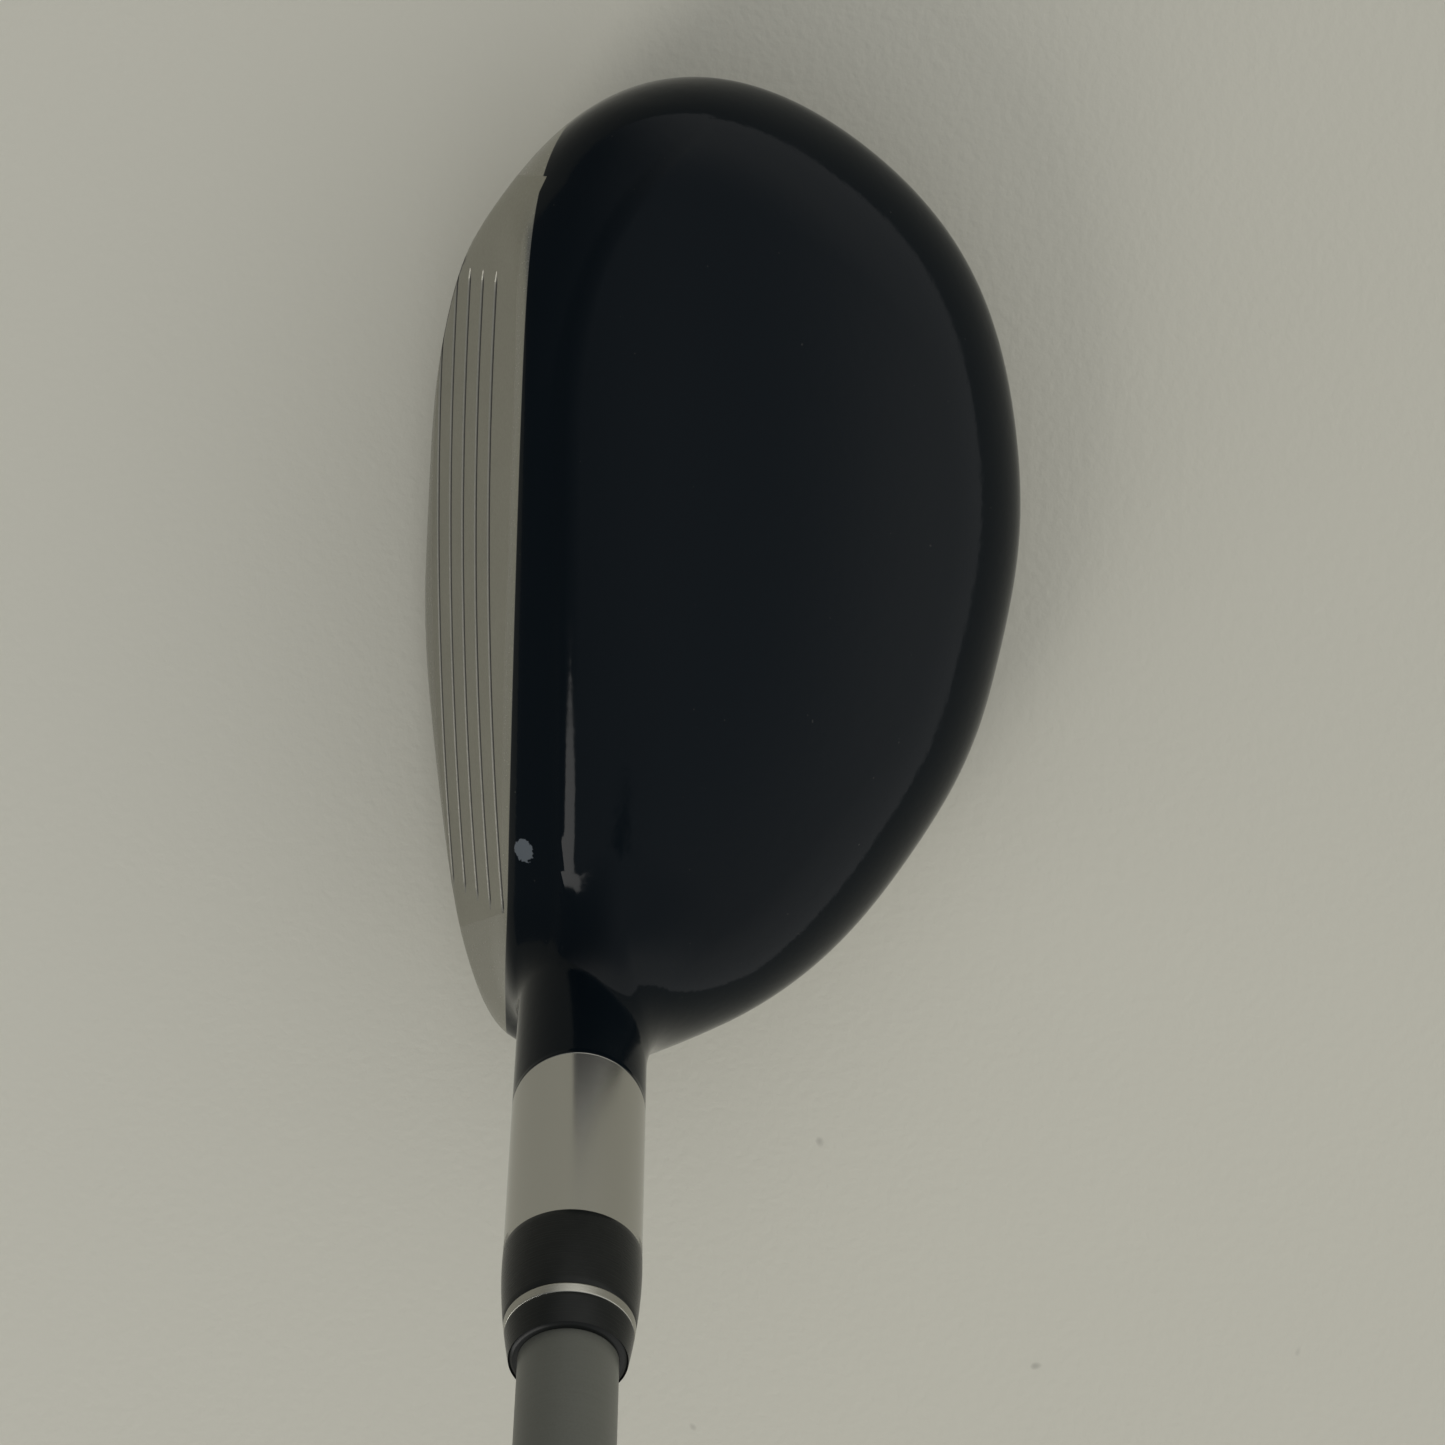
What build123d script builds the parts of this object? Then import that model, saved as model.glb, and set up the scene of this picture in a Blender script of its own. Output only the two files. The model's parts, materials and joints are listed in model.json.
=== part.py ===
"""Hybrid golf club, right-handed, standing in its address position.

Millimetres.  The origin is the middle of the flat land under the face centre.
-Y is the target side (face), +Y the rear, -X the toe, +X the heel, +Z up.
The shaft axis lies in the plane Y = 0 and leans towards +X.
"""
import os
from math import cos, radians, sin, tan

from build123d import *

os.makedirs("parts", exist_ok=True)

# ---- driving dimensions ------------------------------------------------------
CLUB_LENGTH = 1000.0       # along the shaft, from the ground to the end of the grip
LIE_ANGLE = 60.0
LOFT_ANGLE = 21.6

HEAD_LENGTH = 104.0        # toe to heel
REAR_REACH = 45.3          # from the shaft plane back to the rear of the head
LEADING_EDGE = 19.8        # where the face plane meets the ground, ahead of the shaft plane
CROWN_HEIGHT = 36.5
HEEL_TO_SHAFT = 28.0       # heel end to the point where the shaft axis meets the ground
FACE_BULGE_RADIUS = 450.0
CROWN_TOP = (-10.0, 4.0)
CROWN_DROP_ENDS = 9.0      # from the crown's top to its height at the toe and the heel
CROWN_DROP_REAR = 17.0
SOLE_RISE_ENDS = 9.0       # camber of the sole, toe to heel
SOLE_RISE_REAR = 9.3
LAND_SINK = 0.35           # how much of the sole's camber is ground flat as a land
CROWN_EDGE_ROUND = 6.0
SOLE_EDGE_ROUND = 9.0
LEADING_EDGE_ROUND = 2.5

WALL = 1.4
FACE_WALL = 3.2
FACE_PLATE = 2.2
CROWN_PLATE = 0.8
FRONT_BAND = 5.0           # painted band between the top line and the crown plate
CROWN_MARGIN = 6.0         # from the outline to the crown plate, around the skirt
NECK_SIDE = 34.0           # from the heel end to the crown plate, beside the neck
SEAT_LEDGE = 2.0
FIT = 0.05                 # clearance around each inset plate
SEAT_GAP = 0.02            # clearance under each inset plate
FACE_PLATE_LENGTH = 78.0
FACE_PLATE_HEIGHT = 28.0
FACE_PLATE_LOW = 4.5       # up the face from the ground line
GROOVE_PITCH = 4.1
GROOVE_LOW = 7.0           # lowest groove, up the face from the ground line
GROOVE_WIDTH = 0.85
GROOVE_DEPTH = 0.4
GROOVE_COUNT = 6
GROOVE_LENGTH = 66.0

HOSEL_RADIUS = 6.6
HOSEL_CORE_RADIUS = 6.1    # the tube inside the head, round the bore
HOSEL_TOP = 68.0           # along the shaft axis
HOSEL_BORE_DEPTH = 32.0
HOSEL_FLOOR = 3.0
GLUE_GAP = 0.1
NECK_START = 50.0

TIP_DIAMETER = 9.4
TIP_BORE = 4.4
TIP_PARALLEL = 110.0
BUTT_DIAMETER = 15.2
BUTT_BORE = 12.8
BUTT_PARALLEL = 272.0
TIP_WEIGHT_HEAD = 1.2
TIP_WEIGHT_STEM = 14.0

FERRULE_BASE_LENGTH = 8.7
FERRULE_RING_LENGTH = 0.95
FERRULE_CAP_LENGTH = 3.25
FERRULE_END_RADIUS = 5.55
FERRULE_SWELL = 0.25       # how far the ferrule's side bows out of a straight taper
FERRULE_FIT = 0.02

GRIP_LENGTH = 265.0
GRIP_MOUTH_RADIUS = 9.0
GRIP_BUTT_RADIUS = 13.2
GRIP_CAP_THICKNESS = 5.0
GRIP_CAP_RADIUS = 13.5
GRIP_CAP_ROUND = 2.0
GRIP_TAPE_THICKNESS = 0.15
GRIP_TAPE_LENGTH = 255.0
VENT_RADIUS = 1.6

PORT_BACK = 29.0           # weight screw, behind the shaft plane
PORT_WALL = 2.6
PORT_FLOOR = 1.5
SCREW_RECESS = 0.6
SCREW_HEAD_RADIUS = 5.5
SCREW_HEAD_HEIGHT = 3.2
SCREW_RADIUS = 3.0
SCREW_LENGTH = 6.5
SCREW_FIT = 0.1
KEY_RADIUS = 2.3
KEY_DEPTH = 2.0
WASHER_THICKNESS = 0.6

SLUG_PLACE = (-27.0, 22.0)
SLUG_RADIUS = 6.5
SLUG_HEIGHT = 5.0
HOT_MELT_PLACE = (22.0, 16.0)
HOT_MELT_RADIUS = 7.0
HOT_MELT_HEIGHT = 2.5
BADGE_PLACE = (-27.0, 2.0)
BADGE_SIZE = (20.0, 11.0)
BADGE_THICKNESS = 0.7

# ---- worked out --------------------------------------------------------------
HALF_LENGTH = HEAD_LENGTH / 2
SHAFT_FOOT = HALF_LENGTH - HEEL_TO_SHAFT
ABOVE = 2 * HEAD_LENGTH    # more than any height of the head
FACE_REACH = 3 * FACE_WALL # through the front wall and its bulge
AXIS = Vector(cos(radians(LIE_ANGLE)), 0, sin(radians(LIE_ANGLE)))
DOWN_HEEL = Vector(sin(radians(LIE_ANGLE)), 0, -cos(radians(LIE_ANGLE)))
SHAFT_PLANE = Plane(origin=(SHAFT_FOOT, 0, 0), x_dir=DOWN_HEEL, z_dir=AXIS)
TURN_PLANE = Plane(origin=(SHAFT_FOOT, 0, 0), x_dir=DOWN_HEEL, z_dir=(0, -1, 0))
SHAFT_AXIS = Axis((SHAFT_FOOT, 0, 0), AXIS)


def arc_radius(reach, drop):
    return reach**2 / (2 * drop)


CROWN_ARCS = (
    arc_radius(HALF_LENGTH, CROWN_DROP_ENDS),
    arc_radius(REAR_REACH - CROWN_TOP[1], CROWN_DROP_REAR),
)
SOLE_ARCS = (arc_radius(HALF_LENGTH, SOLE_RISE_ENDS), arc_radius(REAR_REACH, SOLE_RISE_REAR))
FACE_NORMAL = Vector(0, -cos(radians(LOFT_ANGLE)), sin(radians(LOFT_ANGLE)))
FACE_PLANE = Plane(origin=(0, -LEADING_EDGE, 0), x_dir=(1, 0, 0), z_dir=FACE_NORMAL)
FACE_MIDDLE = Vector(0, -LEADING_EDGE, 0) - FACE_NORMAL * FACE_BULGE_RADIUS
PORT_HEIGHT = PORT_BACK**2 / (2 * SOLE_ARCS[1]) - LAND_SINK
PORT_PLANE = Plane(
    origin=(0, PORT_BACK, PORT_HEIGHT), x_dir=(1, 0, 0), z_dir=(0, -PORT_BACK / SOLE_ARCS[1], 1)
)

# The outline seen from above, as shares of the half length and of the rear reach,
# from the heel round the rear and the toe; the last four points lie ahead of the face.
OUTLINE = [
    (0.97, 0.02), (0.80, 0.55), (0.43, 0.84), (-0.13, 1.0), (-0.62, 0.88),
    (-0.92, 0.56), (-0.98, 0.08), (-0.70, -0.42), (0.10, -0.72), (0.84, -0.38),
]
OUTLINE_MIDDLE = 14.0      # behind the shaft plane


def outline_points(draw_in):
    """The outline drawn in by a distance, about a point behind the shaft plane."""
    along = 1 - draw_in / HALF_LENGTH
    across = 1 - draw_in / (REAR_REACH - OUTLINE_MIDDLE)
    return [
        (HALF_LENGTH * x * along, OUTLINE_MIDDLE + (REAR_REACH * y - OUTLINE_MIDDLE) * across)
        for x, y in OUTLINE
    ]


def bowl(lowest, middle_x, middle_y, radius_x, radius_y):
    """A shallow bowl-shaped face, larger than the head on every side."""
    reach = 2 * HEAD_LENGTH

    def parabola(middle, radius):
        side = reach**2 / (2 * radius)
        return [(middle - reach, side), (middle, -side), (middle + reach, side)]

    along = parabola(middle_x, radius_x)
    across = parabola(middle_y, radius_y)
    return Face.make_bezier_surface(
        [[(x, y, lowest + high_x + high_y) for y, high_y in across] for x, high_x in along]
    )


def crown_face(depth):
    upside_down = bowl(depth - CROWN_HEIGHT, *CROWN_TOP, *CROWN_ARCS)
    return upside_down.mirror(Plane.XY)


def sole_face(depth):
    return bowl(depth - LAND_SINK, 0, 0, *SOLE_ARCS)


def head_form(inset, face_inset):
    """The head without its neck, with every wall moved inwards by a distance."""
    with BuildPart() as form:
        with BuildSketch(Plane.XY):
            with BuildLine():
                Spline(*outline_points(inset), periodic=True)
            make_face()
        extrude(amount=CROWN_HEIGHT)
        extrude(crown_face(inset), amount=3 * ABOVE, dir=(0, 0, -1), mode=Mode.INTERSECT)
        extrude(sole_face(inset), amount=3 * ABOVE, dir=(0, 0, 1), mode=Mode.INTERSECT)
        with Locations(FACE_MIDDLE):
            Sphere(FACE_BULGE_RADIUS - face_inset, mode=Mode.INTERSECT)
        crown_rim = form.edges().sort_by(SortBy.LENGTH)[-2:].sort_by(Axis.Z)[-1]
        fillet(crown_rim, radius=CROWN_EDGE_ROUND - inset)
        sole_rim = form.edges().sort_by(SortBy.LENGTH)[-1]
        fillet(sole_rim, radius=SOLE_EDGE_ROUND - inset)
        leading_edge = form.edges().filter_by_position(Axis.Y, -30, -12).sort_by(Axis.Z)[0]
        fillet(leading_edge, radius=LEADING_EDGE_ROUND)
    return form.part


def neck_form():
    """The hosel's outside, flaring into the crown behind the face."""
    # Place along the shaft axis, half widths down the heel and to the rear, shifts.
    sections = [
        (NECK_START, HOSEL_RADIUS, HOSEL_RADIUS, 0, 0),
        (NECK_START - 5, HOSEL_RADIUS + 0.4, HOSEL_RADIUS + 0.6, -0.2, 0.4),
        (NECK_START - 12, HOSEL_RADIUS + 2.2, HOSEL_RADIUS + 3.0, -1.4, 2.2),
        (NECK_START - 22, HOSEL_RADIUS + 7.0, HOSEL_RADIUS + 8.4, -5.0, 7.5),
    ]
    with BuildPart() as neck:
        for place, half_down, half_back, shift_down, shift_back in sections:
            with BuildSketch(SHAFT_PLANE.offset(place)):
                with Locations((shift_down, shift_back)):
                    Ellipse(half_down, half_back)
        loft()
        with Locations(FACE_MIDDLE):
            Sphere(FACE_BULGE_RADIUS, mode=Mode.INTERSECT)
        with BuildSketch(SHAFT_PLANE.offset(NECK_START)):
            Circle(HOSEL_RADIUS)
        extrude(amount=HOSEL_TOP - NECK_START)
    return neck.part


def crown_outline(draw_in):
    """Plan of the crown plate, drawn in by a distance."""
    front = CROWN_HEIGHT * tan(radians(LOFT_ANGLE)) - LEADING_EDGE + FRONT_BAND + draw_in
    rear = outline_points(CROWN_MARGIN + draw_in)[2:7]
    heel = rear[0]
    toe = rear[-1]
    neck_side = HALF_LENGTH - NECK_SIDE - draw_in
    with BuildSketch(Plane.XY) as outline:
        with BuildLine():
            Spline(*rear)
            Spline(toe, (toe[0] + 6, front + 5), (toe[0] + 20, front + 1), (toe[0] + 34, front))
            Line((toe[0] + 34, front), (neck_side, front))
            ThreePointArc((neck_side, front), (neck_side + 6, REAR_REACH / 3), heel)
        make_face()
    return outline.sketch


def face_outline(draw_in):
    """Outline of the face plate in the face plane, drawn in by a distance."""
    half = FACE_PLATE_LENGTH / 2 - draw_in
    low = FACE_PLATE_LOW + draw_in
    high = FACE_PLATE_LOW + FACE_PLATE_HEIGHT - draw_in
    with BuildSketch(FACE_PLANE) as outline:
        with BuildLine():
            ThreePointArc((-half + 3, low + 6), (-2, low), (half, low + 5))
            Line((half, low + 5), (half, high - 4))
            ThreePointArc((half, high - 4), (-6, high), (-half + 3, high - 3))
            ThreePointArc((-half + 3, high - 3), (-half, (low + high) / 2 + 1), (-half + 3, low + 6))
        make_face()
    return outline.sketch


def turned(points):
    """A solid turned about the shaft axis from (radius, place along the axis) points."""
    with BuildPart() as piece:
        with BuildSketch(TURN_PLANE):
            with BuildLine():
                Polyline(*points, close=True)
            make_face()
        revolve(axis=SHAFT_AXIS)
    return piece.part


def finish(piece, label):
    piece.part.label = label
    export_step(piece.part, f"parts/{label}.step")


# ---- head --------------------------------------------------------------------
# A hollow steel casting: skirt, sole, front band, neck and hosel.  The face plate
# and the crown plate drop into stepped openings and are welded there.
head_outside = head_form(0, 0)
head_cavity = head_form(WALL, FACE_WALL)
port_seat = SCREW_RECESS + SCREW_HEAD_HEIGHT + WASHER_THICKNESS
port_hole_end = SCREW_RECESS + SCREW_HEAD_HEIGHT + SCREW_LENGTH + 0.5
hosel_floor = HOSEL_TOP - HOSEL_BORE_DEPTH
bore_radius = TIP_DIAMETER / 2 + GLUE_GAP

with BuildPart() as crown_pocket:
    extrude(crown_face(CROWN_PLATE + SEAT_GAP), amount=ABOVE, dir=(0, 0, 1))
    extrude(crown_outline(-FIT), amount=ABOVE, mode=Mode.INTERSECT)

with BuildPart() as face_pocket:
    extrude(face_outline(-FIT), amount=FACE_REACH, both=True)
    with Locations(FACE_MIDDLE):
        Sphere(FACE_BULGE_RADIUS - FACE_PLATE - SEAT_GAP, mode=Mode.SUBTRACT)

with BuildPart() as badge_pocket:
    extrude(sole_face(BADGE_THICKNESS + SEAT_GAP), amount=ABOVE, dir=(0, 0, -1))
    with BuildSketch(Plane.XY.offset(-ABOVE / 2)):
        with Locations(BADGE_PLACE):
            Ellipse(BADGE_SIZE[0] / 2 + FIT, BADGE_SIZE[1] / 2 + FIT)
    extrude(amount=ABOVE, mode=Mode.INTERSECT)

with BuildPart() as port_boss:
    with BuildSketch(PORT_PLANE.offset(-PORT_WALL)):
        Circle(SCREW_HEAD_RADIUS + SCREW_FIT + PORT_WALL)
    extrude(amount=port_hole_end + PORT_FLOOR + PORT_WALL)
    add(head_outside, mode=Mode.INTERSECT)

with BuildPart() as head_body:
    add(head_outside)
    add(neck_form())
    add(head_cavity, mode=Mode.SUBTRACT)
    add(port_boss.part)
    with BuildSketch(SHAFT_PLANE.offset(hosel_floor - HOSEL_FLOOR)):
        Circle(HOSEL_CORE_RADIUS)
    extrude(amount=NECK_START - hosel_floor + 2 * HOSEL_FLOOR)
    with BuildSketch(SHAFT_PLANE.offset(hosel_floor)):
        Circle(bore_radius)
    extrude(amount=ABOVE, mode=Mode.SUBTRACT)
    add(crown_pocket.part, mode=Mode.SUBTRACT)
    with BuildSketch(Plane.XY.offset(CROWN_HEIGHT / 2)):
        add(crown_outline(SEAT_LEDGE))
    extrude(amount=ABOVE, mode=Mode.SUBTRACT)
    add(face_pocket.part, mode=Mode.SUBTRACT)
    extrude(face_outline(SEAT_LEDGE), amount=FACE_REACH, both=True, mode=Mode.SUBTRACT)
    add(badge_pocket.part, mode=Mode.SUBTRACT)
    with BuildSketch(PORT_PLANE):
        Circle(SCREW_HEAD_RADIUS + SCREW_FIT)
    extrude(amount=port_seat, both=True, mode=Mode.SUBTRACT)
    with BuildSketch(PORT_PLANE):
        Circle(SCREW_RADIUS + SCREW_FIT)
    extrude(amount=port_hole_end, mode=Mode.SUBTRACT)
finish(head_body, "head_body")

with BuildPart() as crown_plate:
    extrude(crown_face(0), amount=CROWN_PLATE, dir=(0, 0, -1))
    extrude(crown_outline(0), amount=ABOVE, mode=Mode.INTERSECT)
finish(crown_plate, "crown_plate")

with BuildPart() as face_grooves:
    with BuildSketch(FACE_PLANE):
        with Locations((0, GROOVE_LOW + (GROOVE_COUNT - 1) / 2 * GROOVE_PITCH)):
            with GridLocations(GROOVE_LENGTH, GROOVE_PITCH, 1, GROOVE_COUNT):
                SlotOverall(GROOVE_LENGTH, GROOVE_WIDTH)
    extrude(amount=FACE_REACH, both=True)
    with Locations(FACE_MIDDLE):
        Sphere(FACE_BULGE_RADIUS - GROOVE_DEPTH, mode=Mode.SUBTRACT)

with BuildPart() as face_plate:
    extrude(face_outline(0), amount=FACE_REACH, both=True)
    with Locations(FACE_MIDDLE):
        Sphere(FACE_BULGE_RADIUS, mode=Mode.INTERSECT)
        Sphere(FACE_BULGE_RADIUS - FACE_PLATE, mode=Mode.SUBTRACT)
    add(face_grooves.part, mode=Mode.SUBTRACT)
finish(face_plate, "face_plate")

# ---- inside and under the head -------------------------------------------------
# A dense slug and a pad of hot melt, both stuck to the sole inside the cavity.
for label, place, radius, height in (
    ("tungsten_slug", SLUG_PLACE, SLUG_RADIUS, SLUG_HEIGHT),
    ("hot_melt_pad", HOT_MELT_PLACE, HOT_MELT_RADIUS, HOT_MELT_HEIGHT),
):
    with BuildPart() as pad:
        extrude(sole_face(WALL), amount=height, dir=(0, 0, 1))
        with BuildSketch(Plane.XY):
            with Locations(place):
                Circle(radius)
        extrude(amount=ABOVE, mode=Mode.INTERSECT)
    finish(pad, label)

with BuildPart() as sole_badge:
    extrude(sole_face(0), amount=BADGE_THICKNESS, dir=(0, 0, 1))
    with BuildSketch(Plane.XY):
        with Locations(BADGE_PLACE):
            Ellipse(BADGE_SIZE[0] / 2, BADGE_SIZE[1] / 2)
    extrude(amount=ABOVE, mode=Mode.INTERSECT)
finish(sole_badge, "sole_badge")

with BuildPart() as weight_screw:
    with BuildSketch(PORT_PLANE.offset(SCREW_RECESS)):
        Circle(SCREW_HEAD_RADIUS)
    extrude(amount=SCREW_HEAD_HEIGHT)
    with BuildSketch(PORT_PLANE.offset(SCREW_RECESS + SCREW_HEAD_HEIGHT)):
        Circle(SCREW_RADIUS)
    extrude(amount=SCREW_LENGTH)
    with BuildSketch(PORT_PLANE.offset(SCREW_RECESS)):
        RegularPolygon(KEY_RADIUS, 6)
    extrude(amount=KEY_DEPTH, mode=Mode.SUBTRACT)
finish(weight_screw, "weight_screw")

with BuildPart() as weight_washer:
    with BuildSketch(PORT_PLANE.offset(SCREW_RECESS + SCREW_HEAD_HEIGHT)):
        Circle(SCREW_HEAD_RADIUS)
        Circle(SCREW_RADIUS + SCREW_FIT, mode=Mode.SUBTRACT)
    extrude(amount=WASHER_THICKNESS)
finish(weight_washer, "weight_washer")

# ---- shaft ---------------------------------------------------------------------
# A tapered graphite tube, parallel at the tip and under the grip, glued in the hosel.
tip = hosel_floor + TIP_WEIGHT_HEAD
butt = CLUB_LENGTH - GRIP_CAP_THICKNESS
tip_radius = TIP_DIAMETER / 2
butt_radius = BUTT_DIAMETER / 2
with BuildPart() as shaft:
    add(turned([
        (TIP_BORE / 2, tip), (tip_radius, tip), (tip_radius, tip + TIP_PARALLEL),
        (butt_radius, butt - BUTT_PARALLEL), (butt_radius, butt), (BUTT_BORE / 2, butt),
        (BUTT_BORE / 2, butt - BUTT_PARALLEL), (TIP_BORE / 2, tip + TIP_PARALLEL),
    ]))
finish(shaft, "shaft")

with BuildPart() as tip_weight:
    add(turned([
        (0, hosel_floor), (tip_radius, hosel_floor), (tip_radius, tip), (TIP_BORE / 2, tip),
        (TIP_BORE / 2, tip + TIP_WEIGHT_STEM), (0, tip + TIP_WEIGHT_STEM),
    ]))
finish(tip_weight, "tip_weight")

with BuildPart() as epoxy_sleeve:
    add(turned([
        (tip_radius, tip), (bore_radius, tip), (bore_radius, HOSEL_TOP), (tip_radius, HOSEL_TOP),
    ]))
finish(epoxy_sleeve, "epoxy_sleeve")

# ---- ferrule -------------------------------------------------------------------
# Two black collars with a bright ring between them, turned to one flowing profile.
ferrule_length = FERRULE_BASE_LENGTH + FERRULE_RING_LENGTH + FERRULE_CAP_LENGTH
ferrule_end = HOSEL_TOP + ferrule_length
with BuildPart() as ferrule_form:
    with BuildSketch(TURN_PLANE):
        with BuildLine():
            side = (HOSEL_RADIUS + FERRULE_END_RADIUS) / 2 + FERRULE_SWELL
            inside = tip_radius + FERRULE_FIT
            ThreePointArc(
                (HOSEL_RADIUS, HOSEL_TOP),
                (side, HOSEL_TOP + ferrule_length / 2),
                (FERRULE_END_RADIUS, ferrule_end),
            )
            Line((FERRULE_END_RADIUS, ferrule_end), (inside, ferrule_end))
            Line((inside, ferrule_end), (inside, HOSEL_TOP))
            Line((inside, HOSEL_TOP), (HOSEL_RADIUS, HOSEL_TOP))
        make_face()
    revolve(axis=SHAFT_AXIS)

ring_start = HOSEL_TOP + FERRULE_BASE_LENGTH
ring_end = ring_start + FERRULE_RING_LENGTH
for label, start, end in (
    ("ferrule_base", HOSEL_TOP, ring_start),
    ("ferrule_ring", ring_start, ring_end),
    ("ferrule_cap", ring_end, ferrule_end),
):
    with BuildPart() as collar:
        add(ferrule_form.part)
        split(bisect_by=SHAFT_PLANE.offset(start), keep=Keep.TOP)
        split(bisect_by=SHAFT_PLANE.offset(end), keep=Keep.BOTTOM)
    finish(collar, label)

# ---- grip ----------------------------------------------------------------------
# A rubber sleeve over double-sided tape, with its end cap against the shaft's butt.
grip_start = CLUB_LENGTH - GRIP_LENGTH
tape_radius = butt_radius + GRIP_TAPE_THICKNESS
tape_start = butt - GRIP_TAPE_LENGTH
with BuildPart() as grip_tape:
    add(turned([
        (butt_radius, tape_start), (tape_radius, tape_start), (tape_radius, butt),
        (butt_radius, butt),
    ]))
finish(grip_tape, "grip_tape")

with BuildPart() as grip_sleeve:
    add(turned([
        (butt_radius, grip_start), (GRIP_MOUTH_RADIUS, grip_start), (GRIP_BUTT_RADIUS, butt),
        (tape_radius, butt), (tape_radius, tape_start), (butt_radius, tape_start),
    ]))
finish(grip_sleeve, "grip_sleeve")

with BuildPart() as grip_cap:
    with BuildSketch(SHAFT_PLANE.offset(butt)):
        Circle(GRIP_CAP_RADIUS)
    extrude(amount=GRIP_CAP_THICKNESS)
    fillet(grip_cap.edges().group_by(SHAFT_AXIS)[-1], radius=GRIP_CAP_ROUND)
    with BuildSketch(SHAFT_PLANE.offset(butt)):
        Circle(VENT_RADIUS)
    extrude(amount=GRIP_CAP_THICKNESS, mode=Mode.SUBTRACT)
finish(grip_cap, "grip_cap")
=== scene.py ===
import json
from math import atan2, cos, pi, radians, sin, tan

import bpy
import numpy as np
from mathutils import Matrix, Vector


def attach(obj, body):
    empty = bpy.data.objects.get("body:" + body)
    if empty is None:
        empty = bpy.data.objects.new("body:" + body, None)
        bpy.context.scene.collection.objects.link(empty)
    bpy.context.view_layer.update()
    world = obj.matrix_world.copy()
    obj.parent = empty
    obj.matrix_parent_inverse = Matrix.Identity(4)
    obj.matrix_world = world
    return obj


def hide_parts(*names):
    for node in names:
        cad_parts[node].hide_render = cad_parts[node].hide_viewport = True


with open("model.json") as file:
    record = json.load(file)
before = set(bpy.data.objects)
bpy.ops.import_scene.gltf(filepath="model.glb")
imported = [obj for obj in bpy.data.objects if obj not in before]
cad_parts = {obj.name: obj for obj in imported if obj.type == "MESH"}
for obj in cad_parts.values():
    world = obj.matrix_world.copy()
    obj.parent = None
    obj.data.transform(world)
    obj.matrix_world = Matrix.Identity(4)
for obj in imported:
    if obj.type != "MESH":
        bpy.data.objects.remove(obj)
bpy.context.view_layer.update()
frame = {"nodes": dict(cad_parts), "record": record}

# ==== Camera, lamps and floor ====================================================
# The club is soled on a pale studio floor and seen from above, a little from the
# toe.  The sky is bright at the sides and dimmer overhead and in front of the face,
# and one soft lamp stands beyond the heel.  None of this belongs to the club.
for thing in bpy.context.selected_objects:
    thing.select_set(False)

shaft_mount = next(m for m in frame["record"]["mounts"] if m["name"] == "hand_grip")
shaft_axis = Vector(shaft_mount["axis"]).normalized()
shaft_point = Vector(shaft_mount["pos_m"])
shaft_foot = shaft_point - shaft_axis * (shaft_point.z / shaft_axis.z)

camera_tilt = radians(9.9)
camera_height = 0.38514
camera_toe_side = 0.05023
camera_behind = 0.01419
lens_length = 89.43945
camera = bpy.data.objects.new("camera", bpy.data.cameras.new("camera"))
bpy.context.collection.objects.link(camera)
camera.data.sensor_width = 36.0
camera.data.lens = lens_length
camera.data.clip_start = 0.01
camera.data.clip_end = 20.0
camera.location = (-camera_toe_side, camera_behind, camera_height)
camera_right = Vector((0, 1, 0))
camera_up = Vector((-cos(camera_tilt), 0, -sin(camera_tilt)))
camera_back = Vector((-sin(camera_tilt), 0, cos(camera_tilt)))
camera.rotation_euler = (
    Matrix((camera_right, camera_up, camera_back)).transposed().to_euler()
)
bpy.context.scene.camera = camera
bpy.context.scene.view_settings.view_transform = "Standard"


class Shade:
    """One shader socket, so that shader sums are written as plain arithmetic."""

    def __init__(self, tree, socket):
        self.tree, self.socket = tree, socket

    def math(self, operation, *terms):
        node = self.tree.nodes.new("ShaderNodeMath")
        node.operation = operation
        for socket, term in zip(node.inputs, terms):
            if isinstance(term, Shade):
                self.tree.links.new(term.socket, socket)
            else:
                socket.default_value = term
        return Shade(self.tree, node.outputs[0])

    def __add__(self, other):
        return self.math("ADD", self, other)

    def __sub__(self, other):
        return self.math("SUBTRACT", self, other)

    def __rsub__(self, other):
        return self.math("SUBTRACT", other, self)

    def __mul__(self, other):
        return self.math("MULTIPLY", self, other)

    def __truediv__(self, other):
        return self.math("DIVIDE", self, other)

    def __pow__(self, other):
        return self.math("POWER", self, other)

    __radd__ = __add__
    __rmul__ = __mul__


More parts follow.
